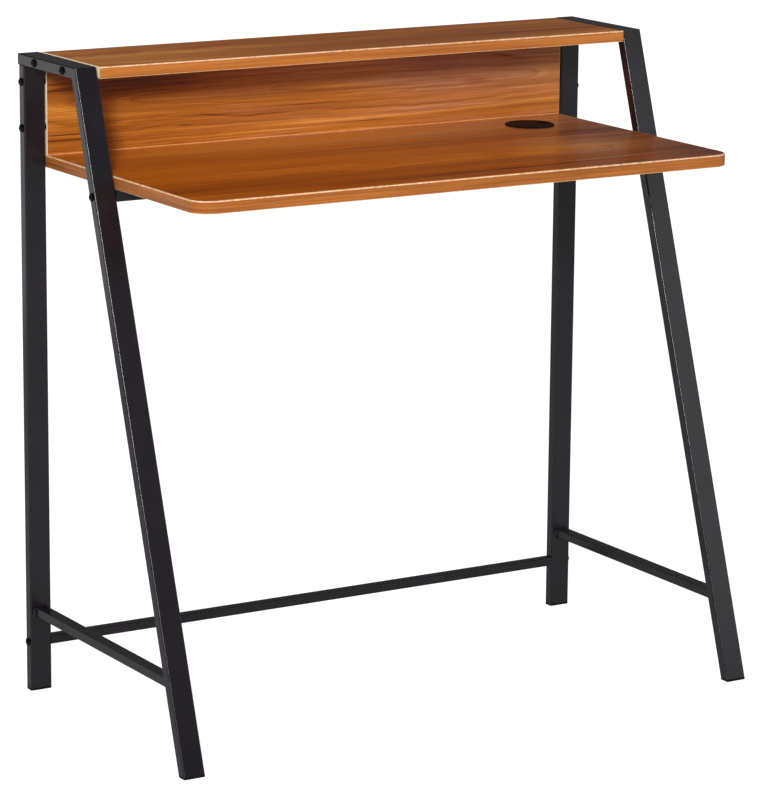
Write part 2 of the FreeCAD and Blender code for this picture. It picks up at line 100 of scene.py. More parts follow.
class Side(Enum):
    """An end of the desk, by the sign of its X."""

    LEFT = -1
    RIGHT = 1

    @property
    def word(self) -> str:
        """The side's name as the nodes have it."""
        return self.name.lower()


class BandSkin(IntEnum):
    """Material slots of an edge band."""

    PRINT = 0
    TRIMMED = 1


class BoardSkin(IntEnum):
    """Material slots of the back panel and the shelf."""

    FILM = 0
    LIP = 1
    RAW = 2
    REVERSE = 3


# Node trees


def linear(hex_colour: str) -> Colour:
    """Linear RGBA of an sRGB hex colour, by the curve of the sRGB standard.

    Args:
        hex_colour: Colour such as "#a0522d".

    Returns:
        Red, green and blue turned to linear, and an alpha of 1.
    """
    digits = hex_colour.lstrip("#")
    parts = [int(digits[i : i + 2], 16) / 255 for i in (0, 2, 4)]
    low = [c / 12.92 if c <= 0.04045 else ((c + 0.055) / 1.055) ** 2.4 for c in parts]
    return (low[0], low[1], low[2], 1.0)


def outlet(source: Any) -> Any:
    """A node's first output, or else the socket or value itself."""
    return source.outputs[0] if isinstance(source, Node) else source


def add(
    tree: Tree,
    kind: str,
    inputs: Union[dict[Union[int, str], Any], Sequence[Any]] = (),
    stops: Stops = (),
    **settings: Any,
) -> Node:
    """Adds a node with its settings, its values and the links into it.

    Args:
        tree: Node tree that gets the node.
        kind: The node's type, without its ShaderNode prefix.
        inputs: Values, sockets or nodes for the inputs, in their order or by name or index.
        stops: Places and hex colours of a colour ramp.
        settings: Properties of the node itself.

    Returns:
        The new node.
    """
    made = tree.nodes.new("ShaderNode" + kind)
    for name, value in settings.items():
        setattr(made, name, value)
    for key, value in inputs.items() if isinstance(inputs, dict) else enumerate(inputs):
        source = outlet(value)
        if isinstance(source, bpy.types.NodeSocket):
            tree.links.new(source, made.inputs[key])
        else:
            made.inputs[key].default_value = source
    if stops:
        elements = made.color_ramp.elements
        while len(elements) < len(stops):
            elements.new(1.0)
        for element, (place, colour) in zip(elements, stops):
            element.position = place
            element.color = linear(colour)
    return made


def at_real_size(tree: Tree, size_mm: Spot, shift: float = 0.0) -> Node:
    """Object coordinates divided by a pattern's real size along each axis.

    Args:
        tree: Node tree of the material.
        size_mm: The pattern's size along X, Y and Z.
        shift: Offset along all three.

    Returns:
        The node that gives the scaled coordinates.
    """
    inputs = {
        "Vector": add(tree, "TexCoord").outputs["Object"],
        "Scale": tuple(1 / (size * MM) for size in size_mm),
        "Location": (shift, shift, shift),
    }
    return add(tree, "Mapping", inputs)


@dataclass(frozen=True)
class Mottle:
    """Soft variation of a surface, drawn by noise with features of a real size."""

    size_mm: Spot  # along X, Y and Z
    detail: float = 2.0  # octaves of finer noise
    roughness: float = 0.5  # how strong the finer octaves are
    shift: float = 0.0  # which part of the endless noise it shows
    weight: float = 0.0  # its share in a tone, where several make one up
    bend: float = 0.0  # how far it is bent by itself

    def on(self, tree: Tree, shift: float = 0.0) -> Node:
        """Adds the variation to a material.

        Args:
            tree: Node tree of the material.
            shift: Offset that gives each board another part of the noise.

        Returns:
            The noise, from 0 to 1.
        """
        inputs = {
            "Vector": at_real_size(tree, self.size_mm, self.shift + shift),
            "Scale": 1.0,
            "Detail": self.detail,
            "Roughness": self.roughness,
            "Distortion": self.bend,
        }
        return add(tree, "TexNoise", inputs)

    def laid(self, tree: Tree, tone: Any, shift: float = 0.0) -> Node:
        """Adds the variation, times its weight, to a tone."""
        inputs = (self.on(tree, shift), self.weight, tone)
        return add(tree, "Math", inputs, operation="MULTIPLY_ADD")


def blank_material(name: str) -> Material:
    """A material whose node tree is empty."""
    material = bpy.data.materials.new(name)
    material.use_nodes = True
    material.node_tree.nodes.clear()
    return material


# Finishes


@dataclass(frozen=True, kw_only=True)
class Finish:
    """What every finish has: tones that follow a mottle, a sheen, and often a relief."""

    name: str
    mottle: Mottle
    roughness: float
    tones: Stops = ()
    specular: float = 0.5
    metallic: float = 0.0
    sheen: Optional[Point] = None  # roughness where the mottle is lowest and highest
    relief: Optional[Point] = None  # bump strength, and its height in millimetres

    def uneven(self, tree: Tree, grain: Node) -> Sources:
        """Sheen and relief that follow a grain, where the finish has them.

        Args:
            tree: Node tree of the material.
            grain: The grain, from 0 to 1.

        Returns:
            What feeds the shader's inputs.
        """
        sources: Sources = {}
        if self.sheen:
            low, high = self.sheen
            sources["Roughness"] = add(tree, "MapRange", {0: grain, 3: low, 4: high})
        if self.relief:
            strength, rise = self.relief
            inputs = {"Height": grain, "Strength": strength, "Distance": rise * MM}
            sources["Normal"] = add(tree, "Bump", inputs)
        return sources

    def surface(self, tree: Tree) -> Sources:
        """Colour, sheen and relief that follow the mottle."""
        mottle = self.mottle.on(tree)
        return {"Base Color": add(tree, "ValToRGB", (mottle,), self.tones), **self.uneven(tree, mottle)}

    def make(self) -> Material:
        """Builds the material.

        Returns:
            The material, with one Principled shader.
        """
        material = blank_material(self.name)
        tree = material.node_tree
        values = {
            "Roughness": self.roughness,
            "Specular IOR Level": self.specular,
            "Metallic": self.metallic,
        }
        skin = add(tree, "BsdfPrincipled", values)
        for name, source in self.surface(tree).items():
            tree.links.new(outlet(source), skin.inputs[name])
        add(tree, "OutputMaterial", (skin,))
        return material


@dataclass(frozen=True, kw_only=True)
class PowderCoat(Finish):
    """Satin polyester powder coat on steel tube, sprayed and baked.

    It gives a dark charcoal skin, very slightly pebbled like orange peel, with a soft wide sheen
    that turns whole tube faces lighter where they mirror a lamp. Weld beads ripple it.
    """

    name: str = "powder_coat_black"
    mottle: Mottle = Mottle((45.0,) * 3, 3.0)
    tones: Stops = ((0.35, "#161318"), (0.7, "#1c181f"))
    roughness: float = 0.25
    sheen: Optional[Point] = (0.22, 0.3)
    peel: Mottle = Mottle((1.6,) * 3, 1.0)
    relief: Optional[Point] = (0.06, 0.2)
    ripple: Optional[Mottle] = None
    ripple_relief: Point = (0.9, 0.35)

    def surface(self, tree: Tree) -> Sources:
        """Clouded colour, pebbled sheen and relief, and the ripples of a weld bead.

        Args:
            tree: Node tree of the material.

        Returns:
            What feeds the shader's inputs.
        """
        tone = add(tree, "ValToRGB", (self.mottle.on(tree),), self.tones)
        sources = {"Base Color": tone, **self.uneven(tree, self.peel.on(tree))}
        if self.ripple:
            strength, rise = self.ripple_relief
            inputs = {"Height": self.ripple.on(tree), "Strength": strength, "Distance": rise * MM}
            sources["Normal"] = add(tree, "Bump", {**inputs, "Normal": sources["Normal"]})
        return sources


@dataclass(frozen=True, kw_only=True)
class MouldedPlastic(Finish):
    """Injection-moulded polypropylene in black, from a finely spark-textured mould.

    It gives a matt, even black with a fine grain, duller than the tubes beside it.
    """

    name: str = "polypropylene_black"
    mottle: Mottle = Mottle((0.8,) * 3)
    tones: Stops = ((0.3, "#121012"), (0.75, "#1b191c"))
    roughness: float = 0.58
    specular: float = 0.1
    relief: Optional[Point] = (0.12, 0.1)


@dataclass(frozen=True, kw_only=True)
class PlatedMetal(Finish):
    """Electroplated or cast fastener metal, with the light clouding of plating.

    It gives the small sharp glints on bolt heads and, in bright zinc, the cool shine of screws.
    """

    mottle: Mottle = Mottle((3.0,) * 3, 3.0)
    metallic: float = 1.0


@dataclass(frozen=True, kw_only=True)
class ParticleBoard(Finish):
    """Raw sawn edge of particle board: pressed wood chips in resin.

    It gives the cream ends of the shelf and the panel, speckled with darker chips.
    """

    name: str = "particle_board_raw"
    mottle: Mottle = Mottle((0.7,) * 3, weight=0.5)
    chip_mm: float = 2.2
    chip_weight: float = 0.7
    tones: Stops = ((0.35, "#fff0d8"), (0.7, "#ffe6c4"), (1.0, "#e3bd8c"))
    roughness: float = 0.85
    specular: float = 0.2
    relief: Optional[Point] = (0.4, 0.3)

    def surface(self, tree: Tree) -> Sources:
        """Chips of two sizes, in colour and relief.

        Args:
            tree: Node tree of the material.

        Returns:
            What feeds the shader's inputs.
        """
        cells = {"Vector": at_real_size(tree, (self.chip_mm,) * 3), "Scale": 1.0}
        chips = add(tree, "TexVoronoi", cells)
        shade = add(tree, "Math", (chips, self.chip_weight), operation="MULTIPLY")
        tone = self.mottle.laid(tree, shade)
        return {"Base Color": add(tree, "ValToRGB", (tone,), self.tones), **self.uneven(tree, tone)}


@dataclass(frozen=True)
class Figure:
    """The flame figure of a printed board: growth rings cut at a slant."""

    heart: Point  # where the loops close: X, and the place across the grain
    share: float = 0.95  # how strongly the rings show
    ring_mm: float = 7.5
    slant: float = 0.075
    depth_mm: float = 6.0
    bow: float = 1.4  # how far the rings' bends also change the depth of the cut
    width_change: float = 0.9  # how fast broad and narrow rings follow one another
    width_detail: float = 3.0
    width_roughness: float = 0.62
    late_edge: float = 3.0  # how sharply each ring ends in its dark late wood
    late_tone: float = -0.22


@dataclass(frozen=True)
class Patch:
    """A soft darker or lighter area or vein of a board's print, long along the grain; some are painted
    shade, light or reflection instead, marked where laid out.
    """

    x: float
    across: float
    reach: Point  # half length along X and half width across the grain
    tone: float
    rise: float = 0.0  # how far it climbs across the grain for each metre along X


@dataclass(frozen=True, kw_only=True)
class WalnutPrint(Finish):
    """Melamine paper with a walnut print, pressed on particle board to a satin plate.

    It gives long brown and orange streaks along the grain, loops where the print shows slanted
    rings, fine fibre lines, and a smooth sheen at low angles.
    """

    across: Axis
    figure: Figure
    shift: float
    golden: tuple[str, ...] = ("#672d07", "#9c510f", "#be6b1b", "#dd923d")
    rosy: tuple[str, ...] = ("#5c2f1c", "#8a5031", "#a8683f", "#c98d62")
    tone_places: tuple[float, ...] = (0.02, 0.34, 0.66, 0.98)
    mid_tone: float = 0.49
    tone: float = 0.0  # how much lighter than the middle tone
    # patches of the print, and on the tabletop and panel also painted shade, light and reflections
    patches: tuple[Patch, ...] = ()
    rose: tuple[Patch, ...] = ()
    rosy_from: Point = (0.42, 0.68)  # where the hue's mottle starts to be rosy, and is most so
    rosy_most: float = 0.75
    roughness: float = 0.28
    specular: float = 0.3
    sheen: Optional[Point] = (0.24, 0.34)
    relief: Optional[Point] = (0.06, 0.05)
    flow: Mottle = Mottle((420.0, 52.0, 52.0), 2.0, 0.45)
    flow_depth_mm: float = 30.0
    waver: Mottle = Mottle((90.0, 22.0, 22.0), shift=1.3)
    waver_depth_mm: float = 5.0
    streak: Mottle = Mottle((430.0, 4.6, 4.6), 4.0, 0.6, 3.1, 0.72)
    thread: Mottle = Mottle((130.0, 1.9, 1.9), 3.0, 0.65, 6.1, 0.68)
    mottle: Mottle = Mottle((70.0, 0.9, 0.9), 2.0, 0.6, 5.7, 0.28)  # the fibre
    zone: Mottle = Mottle((900.0, 46.0, 46.0), 1.0, 0.5, 8.3, 1.1)
    pore: Mottle = Mottle((42.0, 1.7, 1.7), 2.0, 0.5, 9.9, -0.2)
    pore_from: Point = (0.62, 0.76)  # where the pores' mottle starts to be a pore, and is one
    hue: Mottle = Mottle((260.0, 17.0, 17.0), shift=2.9)

    def surface(self, tree: Tree) -> Sources:
        """The print's colour, with painted shade, light and reflections where its patches hold them, and
        the sheen and relief of its fibre.

        Args:
            tree: Node tree of the material.

        Returns:
            What feeds the shader's inputs.
        """
        layers = (self.streak, self.thread, self.mottle, self.zone)
        level = self.tone + self.mid_tone
        level -= (self.figure.share + sum(layer.weight for layer in layers)) / 2
        inputs = (self.rings(tree), self.figure.share, level)
        tone = add(tree, "Math", inputs, operation="MULTIPLY_ADD")
        for patch in self.patches:
            tone = self.lay(tree, tone, patch)
        for layer in layers:
            tone = layer.laid(tree, tone, self.shift)
        pores = self.stretch(tree, self.pore, self.pore_from, 1.0)
        inputs = (pores, self.pore.weight, tone)
        tone = add(tree, "Math", inputs, operation="MULTIPLY_ADD", use_clamp=True)
        golden, rosy = (
            add(tree, "ValToRGB", (tone,), tuple(zip(self.tone_places, colours)))
            for colours in (self.golden, self.rosy)
        )
        share = self.stretch(tree, self.hue, self.rosy_from, self.rosy_most)
        for patch in self.rose:
            share = self.lay(tree, share, patch)
        mixed = add(tree, "Mix", {0: share, 6: golden, 7: rosy}, data_type="RGBA")
        fibre = self.mottle.on(tree, self.shift)
        return {"Base Color": mixed.outputs[2], **self.uneven(tree, fibre)}

    def stretch(self, tree: Tree, mottle: Mottle, limits: Point, most: float) -> Node:
        """A mottle turned to nothing under its lower limit and to its most above the upper one."""
        inputs = {0: mottle.on(tree, self.shift), 1: limits[0], 2: limits[1], 4: most}
        return add(tree, "MapRange", inputs)

    def off(self, tree: Tree, axis: Axis, zero: float) -> Node:
        """How far the surface is past a place along one axis of the desk, in metres."""
        parts = add(tree, "SeparateXYZ", (add(tree, "TexCoord").outputs["Object"],))
        return add(tree, "Math", (parts.outputs[axis.value], zero), operation="SUBTRACT")

    def lay(self, tree: Tree, tone: Node, patch: Patch) -> Node:
        """Adds a patch to a tone, fading out towards its rim.

        Args:
            tree: Node tree of the material.
            tone: The tone so far.
            patch: What is added.

        Returns:
            The new tone.
        """
        along = self.off(tree, Axis.X, patch.x)
        level = self.off(tree, self.across, patch.across)
        across = add(tree, "Math", (along, -patch.rise, level), operation="MULTIPLY_ADD")
        square: Any = 0.0
        for off, reach in zip((along, across), patch.reach):
            share = add(tree, "Math", (off, reach), operation="DIVIDE")
            square = add(tree, "Math", (share, share, square), operation="MULTIPLY_ADD")
        left = add(tree, "Math", (1.0, square), operation="SUBTRACT", use_clamp=True)
        soft = add(tree, "Math", (left, left), operation="MULTIPLY")
        return add(tree, "Math", (soft, patch.tone, tone), operation="MULTIPLY_ADD")

    def rings(self, tree: Tree) -> Node:
        """Tone of the growth rings: lighter and darker by turns, with a dark line at each ring's end.

        Args:
            tree: Node tree of the material.

        Returns:
            The tone, from about 0 to 1.
        """
        figure = self.figure
        bends = []
        for mottle, depth_mm in ((self.flow, self.flow_depth_mm), (self.waver, self.waver_depth_mm)):
            depth = depth_mm * MM
            inputs = (mottle.on(tree, self.shift), depth, -depth / 2)
            bends.append(add(tree, "Math", inputs, operation="MULTIPLY_ADD"))
        across = self.off(tree, self.across, figure.heart[1])
        for bend in bends:
            across = add(tree, "Math", (across, bend), operation="ADD")
        along = self.off(tree, Axis.X, figure.heart[0])
        inputs = (along, figure.slant, figure.depth_mm * MM)
        down = add(tree, "Math", inputs, operation="MULTIPLY_ADD")
        down = add(tree, "Math", (bends[0], figure.bow, down), operation="MULTIPLY_ADD")
        square = add(tree, "Math", (across, across), operation="MULTIPLY")
        square = add(tree, "Math", (down, down, square), operation="MULTIPLY_ADD")
        radius = add(tree, "Math", (square,), operation="SQRT")
        radius = add(tree, "Math", (radius, figure.ring_mm * MM), operation="DIVIDE")
        widths = {
            "W": radius,
            "Scale": figure.width_change,
            "Detail": figure.width_detail,
            "Roughness": figure.width_roughness,
        }
        wild = add(tree, "TexNoise", widths, noise_dimensions="1D")
        saw = add(tree, "Math", (radius,), operation="FRACT")
        late = add(tree, "Math", (saw, figure.late_edge), operation="POWER")
        return add(tree, "Math", (late, figure.late_tone, wild), operation="MULTIPLY_ADD")


@dataclass(frozen=True, kw_only=True)
class BandPrint(Finish):
    """Walnut-print ABS edge band, glued on and trimmed.

    It gives a plainer, brighter orange than the board, with short fine grain lines.
    """

    name: str = "abs_band_walnut"
    shift: float = 0.0
    tone: float = 0.0
    tones: Stops = ((0.22, "#82471a"), (0.42, "#a76129"), (0.6, "#c37732"), (0.8, "#d89449"))
    roughness: float = 0.4
    specular: float = 0.3
    mottle: Mottle = Mottle((120.0, 120.0, 1.6), 3.0, 0.6, weight=0.6)
    cloud: Mottle = Mottle((260.0, 260.0, 9.0), shift=2.0, weight=0.4)

    def surface(self, tree: Tree) -> Sources:
        """Grain lines on soft clouds.

        Args:
            tree: Node tree of the material.

        Returns:
            What feeds the shader's inputs.
        """
        tone = self.mottle.laid(tree, self.cloud.laid(tree, self.tone, self.shift), self.shift)
        return {"Base Color": add(tree, "ValToRGB", (tone,), self.tones)}


@dataclass(frozen=True, kw_only=True)
class TrimmedAbs(Finish):
    """Body of the ABS edge band, bared where the trimmer rounded its arrises.

    It gives the thin pale line along the boards' edges.
    """

    name: str = "abs_band_trimmed"
    mottle: Mottle = Mottle((6.0,) * 3, 3.0)
    tones: Stops = ((0.3, "#d9a070"), (0.5, "#efc094"), (0.75, "#f8dcbc"))
    roughness: float = 0.4
    specular: float = 0.3


@dataclass(frozen=True, kw_only=True)
class Beech(Finish):
    """Turned raw beech of the dowels.

    It gives a pale wood with short darker flecks along the grain.
    """

    name: str = "beech_raw"
    mottle: Mottle = Mottle((0.9, 0.9, 5.4), 3.0)
    tones: Stops = ((0.35, "#b98a58"), (0.65, "#dcb684"))
    roughness: float = 0.7
    specular: float = 0.3


class Palette:
    """All finishes of the desk, built once."""

    def __init__(self) -> None:
        """Builds every material."""
        self.coat = PowderCoat().make()
        bead = Mottle((1.5,) * 3, 1.0, bend=0.6)
        self.weld_coat = PowderCoat(name="powder_coat_on_weld", ripple=bead).make()
        self.plastic = MouldedPlastic().make()
        self.bolt = PlatedMetal(
            name="zinc_black_bolt",
            tones=((0.35, "#262426"), (0.7, "#343235")),
            roughness=0.34,
            sheen=(0.272, 0.442),
        ).make()
        self.zinc = PlatedMetal(
            name="zinc_bright_screw",
            tones=((0.35, "#c9cac8"), (0.7, "#a9aaa9")),
            roughness=0.3,
            sheen=(0.24, 0.39),
        ).make()
        self.cast = PlatedMetal(
            name="zamak_cast_insert",
            tones=((0.35, "#b9b8b3"), (0.7, "#96958f")),
            roughness=0.42,
            sheen=(0.336, 0.546),
        ).make()
        self.raw = ParticleBoard().make()
        self.beech = Beech().make()
        self.band = BandPrint(tone=-0.07).make()
        self.shelf_band = BandPrint(name="abs_band_walnut_shelf", shift=12.9, tone=0.02).make()
        self.trim = TrimmedAbs().make()
        worn = ((0.3, "#d8975a"), (0.5, "#eaad70"), (0.75, "#f5c48e"))
        self.lip = TrimmedAbs(name="melamine_lip_worn", tones=worn).make()
        self.top_print = WalnutPrint(
            name="melamine_walnut_tabletop",
            across=Axis.Y,
            figure=Figure(heart=(-0.62, -0.06), share=0.6),
            shift=1.7,
            tone=0.02,
            golden=("#6a2a03", "#9e4a07", "#c06410", "#de8a30"),
            specular=0.2,
            rose=(Patch(0.4, 0.0, (0.35, 0.4), 0.5), Patch(-0.2, -0.05, (0.5, 0.3), -0.8)),
            patches=(
                Patch(-0.05, -0.165, (0.5, 0.024), -0.34),
                # painted highlight: a thin light streak just behind the tabletop's front arris
                Patch(-0.2, -0.194, (0.3, 0.008), 0.26),
                # painted light: brightens the tabletop's rear strip under the shelf, where the shelf's
                # shadow falls
                Patch(0.0, 0.165, (0.7, 0.085), 0.9),
                # painted reflection: lighter where the tabletop mirrors the bright background beyond the
                # right legs
                Patch(0.25, -0.05, (0.12, 0.16), 0.16),
                # painted reflection: darker where the tabletop mirrors the right front leg
                Patch(0.41, -0.12, (0.14, 0.24), -0.28),
            ),
        ).make()
        self.panel_print = WalnutPrint(
            name="melamine_walnut_panel",
            across=Axis.Z,
            figure=Figure(heart=(0.13, 0.779), ring_mm=8.5, slant=0.06, share=0.85),
            shift=23.4,
            tone=0.1,
            golden=("#67310b", "#a45c1d", "#c3762a", "#e39a41"),
            rosy=("#703a20", "#a4623a", "#bd764a", "#d79a6e"),
            waver_depth_mm=9.0,
            rose=(Patch(0.28, 0.785, (0.3, 0.07), 0.8), Patch(-0.32, 0.75, (0.25, 0.1), -0.8)),
            patches=(
                # painted shadow: darkens the panel's upper left, where the shelf and the left front leg
                # cast shade
                Patch(-0.28, 0.81, (0.2, 0.05), -0.3),
                # painted light: lifts the shelf's shadow along the panel's upper right
                Patch(0.12, 0.825, (0.4, 0.045), 0.5),
                Patch(-0.36, 0.772, (0.06, 0.0012), -0.4),
                Patch(-0.36, 0.742, (0.07, 0.0015), -0.45),
                Patch(-0.36, 0.735, (0.06, 0.001), -0.35),
                Patch(0.0, 0.73, (0.5, 0.02), 0.3),
                Patch(-0.04, 0.7265, (0.24, 0.0014), 0.3, 0.004),
                Patch(0.04, 0.7335, (0.2, 0.0012), 0.28, 0.003),
                Patch(0.085, 0.7295, (0.06, 0.001), -0.5),
                Patch(0.01, 0.7582, (0.15, 0.0013), -0.42, -0.007),
                Patch(0.0, 0.7545, (0.1, 0.004), -0.12, -0.007),
                Patch(0.26, 0.772, (0.035, 0.006), -0.3),
            ),
        ).make()
        self.reverse_print = WalnutPrint(
            name="melamine_walnut_reverse",
            across=Axis.Z,
            figure=Figure(heart=(-0.9, 0.79), ring_mm=9.5, slant=0.03, share=0.6),
            shift=57.3,
            tone=0.08,
        ).make()
        self.shelf_print = WalnutPrint(
            name="melamine_walnut_shelf",
            across=Axis.Y,
            figure=Figure(heart=(0.7, 0.16), share=0.6),
            shift=41.9,
            tone=0.12,
            specular=0.12,
            rose=(Patch(0.0, 0.13, (0.8, 0.3), -0.4),),
            patches=(Patch(-0.3, 0.13, (0.25, 0.09), 0.15),),
        ).make()


# Mesh building


def finish_mesh(
    name: str, mesh: Mesh, materials: Sequence[Material], sharp_degrees: float = 35.0
) -> bpy.types.Object:
    """Turns a bmesh into an object with smooth faces that stay crisp at sharp edges.

    Args:
        name: Name of the piece.
        mesh: The geometry, in the desk's frame.
        materials: Its material slots.
        sharp_degrees: Edges that turn by more than this stay crisp.

    Returns:
        The object, linked to the scene.
    """
    bmesh.ops.recalc_face_normals(mesh, faces=mesh.faces)
    data = bpy.data.meshes.new(name)
    mesh.to_mesh(data)
    mesh.free()
    for face in data.polygons:
        face.use_smooth = True
    data.set_sharp_from_angle(angle=math.radians(sharp_degrees))
    for material in materials:
        data.materials.append(material)
    made = bpy.data.objects.new(name, data)
    bpy.context.scene.collection.objects.link(made)
    return made


def skin_rings(
    mesh: Mesh,
    rings: Sequence[Sequence[Vector]],
    slots: Optional[Sequence[int]] = None,
    closed_along: bool = False,
    ends: Optional[int] = None,
) -> None:
    """Joins a row of closed rings with faces.

    Args:
        mesh: The bmesh that gets them.
        rings: Rings of as many points each.
        slots: Material slot of the faces after each point of a ring.
        closed_along: Whether the last ring joins the first.
        ends: Slot of the faces that close the first and the last ring, where there are such faces.
    """
    rows = [[mesh.verts.new(point) for point in ring] for ring in rings]
    count = len(rows[0])
    for i in range(len(rows) if closed_along else len(rows) - 1):
        here, there = rows[i], rows[(i + 1) % len(rows)]
        for j in range(count):
            k = (j + 1) % count
            face = mesh.faces.new((here[j], here[k], there[k], there[j]))
            face.material_index = slots[j] if slots else 0
    for row in () if ends is None else (rows[0], rows[-1]):
        mesh.faces.new(row).material_index = ends


def arc(centre: Point, radius: float, start: float, end: float, steps: int) -> list[Point]:
    """Points on an arc, its angles in degrees."""
    angles = [math.radians(start + (end - start) * i / steps) for i in range(steps + 1)]
    return [(centre[0] + radius * math.cos(a), centre[1] + radius * math.sin(a)) for a in angles]


def place(piece: bpy.types.Object, body: str, nodes: Sequence[str], slot: str) -> None:
    """Lets a piece ride on its body and stand for CAD nodes.

    Args:
        piece: The new piece.
        body: The body that carries it.
        nodes: The CAD nodes it stands for.
        slot: The record's material slot. Not used.
    """
    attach(piece, body)
    if nodes:
        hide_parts(*nodes)
    LOG.info("built %s on %s in place of %s", piece.name, body, ", ".join(nodes) or "nothing")


# Sub-assemblies


@dataclass
class Assembly:
    """What the sub-assemblies share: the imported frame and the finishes."""

    frame: Frame
    palette: Palette

    def dress(self, nodes: Sequence[str], material: Material, edge: float = 0.0, steps: int = 2) -> None:
        """Gives CAD nodes a finish, and eased edges by a bevel, which leaves their meshes alone.

        Args:
            nodes: The nodes' names.
            material: The finish that takes the place of their plain one.
            edge: Width of the bevel, or 0 for none.
            steps: Its segments.
        """
        for name in nodes:
            node = self.frame["nodes"][name]
            node.data.materials.clear()
            node.data.materials.append(material)
            LOG.info("dressed %s with %s", name, material.name)
            if edge:
                bevel = node.modifiers.new("eased_edges", "BEVEL")
                bevel.width = edge
                bevel.segments = steps
                bevel.limit_method = "ANGLE"
                bevel.angle_limit = math.radians(EASED_OVER_DEGREES)
                bevel.harden_normals = False


@dataclass
class EndFrame(Assembly):
    """One welded end frame: two legs, a top tube, a side rail, weld beads and end plugs."""

    side: Side
    tubes: tuple[str, ...] = ("rear_leg", "front_leg", "top_tube", "side_rail")
    plugs: tuple[str, ...] = ("rear_foot_plug", "front_foot_plug", "top_tube_plug")
    welds: tuple[str, ...] = ("frame_welds",)
    plug_edge: float = 0.4 * MM
    bead_edge: float = 0.7 * MM
    bead_steps: int = 3

    def names(self, parts: Sequence[str]) -> list[str]:
        """The nodes' names on this side."""
        return [f"{self.side.word}_{part}" for part in parts]

    def build(self) -> None:
        """Dresses the frame's tubes, plugs and welds."""
        self.dress(self.names(self.tubes), self.palette.coat)
        self.dress(self.names(self.plugs), self.palette.plastic, self.plug_edge)
        self.dress(self.names(self.welds), self.palette.weld_coat, self.bead_edge, self.bead_steps)


@dataclass
class CrossTubes(Assembly):
    """The rear stretcher and the front rail, with the nut blocks in their ends."""

    block_edge: float = 0.3 * MM

    def build(self) -> None:
        """Dresses the tubes and the blocks."""
        self.dress(("rear_stretcher", "front_rail"), self.palette.coat)
        blocks = ("stretcher_nut_blocks", "front_rail_nut_blocks")
        self.dress(blocks, self.palette.zinc, self.block_edge)


